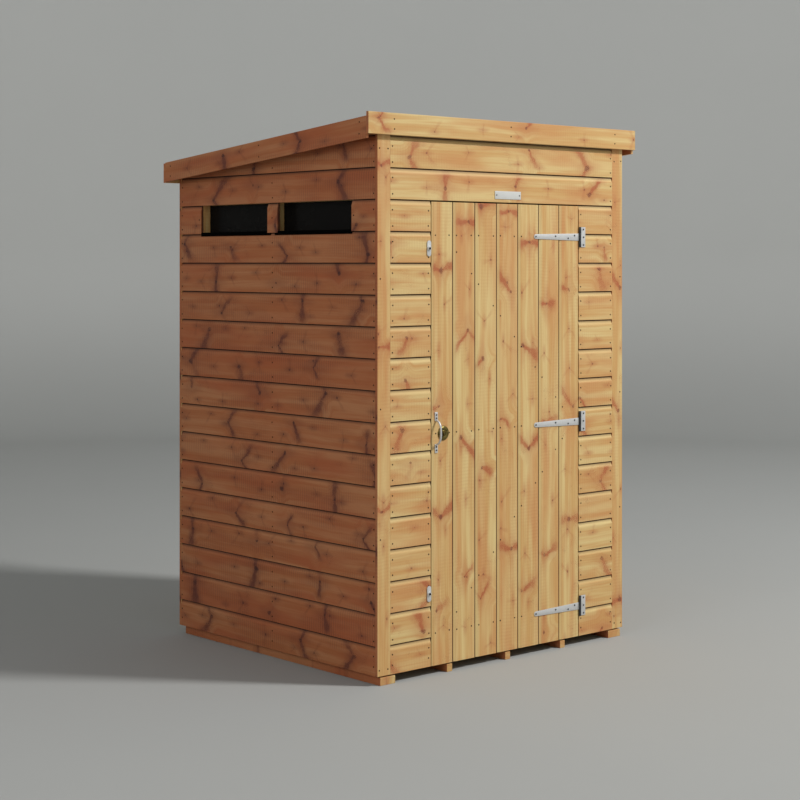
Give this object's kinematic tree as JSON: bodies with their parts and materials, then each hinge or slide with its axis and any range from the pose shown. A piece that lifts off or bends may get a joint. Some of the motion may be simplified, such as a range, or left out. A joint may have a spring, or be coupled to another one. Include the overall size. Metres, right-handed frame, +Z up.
{
  "type": "pent shed",
  "caption": "Small timber pent shed with shiplap cladding, a hinged single door, a low side window row and a roof that falls to the back.",
  "frame": {"origin": "centre of the wall footprint at ground level, on the underside of the middle bearer", "axes": "+Z up, +X to the right along the front as seen from outside, +Y from the front with the door to the back"},
  "size_m": [1.403, 1.269, 2.0066],
  "materials": {
    "front_timber": "satin golden pine",
    "frame_timber": "planed pine",
    "roof_felt": "mineral roofing felt",
    "galvanised": "bright zinc",
    "brass": "aged brass",
    "black_metal": "satin black",
    "dark_glazing": "tinted sheet",
    "black_strip": "matt black",
    "white_plate": "plain white"
  },
  "bodies": {
    "shed": {"bearers_outer": "frame_timber", "bearers_inner": "frame_timber", "floor_deck": "frame_timber", "front_cladding_left": "front_timber", "front_cladding_right": "front_timber", "front_cladding_top": "front_timber", "corner_trims_front": "front_timber", "corner_trims_back": "front_timber", "left_cladding_lower": "front_timber", "left_cladding_upper": "front_timber", "left_cladding_front": "front_timber", "left_cladding_back": "front_timber", "window_mullion": "front_timber", "window_panes": "dark_glazing", "window_strips": "black_strip", "right_cladding": "front_timber", "back_cladding": "front_timber", "front_studs": "frame_timber", "front_rails": "frame_timber", "left_studs": "frame_timber", "left_rails": "frame_timber", "right_studs": "frame_timber", "right_rails": "frame_timber", "back_studs": "frame_timber", "back_rails": "frame_timber", "rafters": "frame_timber", "edge_battens": "frame_timber", "roof_deck": "frame_timber", "roof_felt": "roof_felt", "fascia_front": "front_timber", "fascia_back": "front_timber", "barge_left": "front_timber", "barge_right": "front_timber", "blank_plate": "white_plate", "lock_keep": "black_metal", "hinge_plate_top": "galvanised", "hinge_plate_middle": "galvanised", "hinge_plate_bottom": "galvanised", "turn_screws": "galvanised"},
    "door": {"door_boards": "front_timber", "door_ledges": "frame_timber", "door_braces": "frame_timber", "hinge_strap_top": "galvanised", "hinge_strap_middle": "galvanised", "hinge_strap_bottom": "galvanised", "pull_handle": "galvanised", "lock_rose": "brass", "lock_case": "black_metal"},
    "button_top": {"turn_button_top": "galvanised"},
    "button_bottom": {"turn_button_bottom": "galvanised"}
  },
  "joints": [
    {"name": "door_hinge", "type": "hinge", "parent": "shed", "child": "door", "pos_m": [0.3925, -0.6095, 0.866], "axis": [0, 0, 1], "range_deg": [0, 170]},
    {"name": "turn_button_top", "type": "hinge", "parent": "shed", "child": "button_top", "pos_m": [-0.4005, -0.606, 1.532], "axis": [0, -1, 0], "continuous": true},
    {"name": "turn_button_bottom", "type": "hinge", "parent": "shed", "child": "button_bottom", "pos_m": [-0.4005, -0.606, 0.294], "axis": [0, -1, 0], "continuous": true}
  ]
}
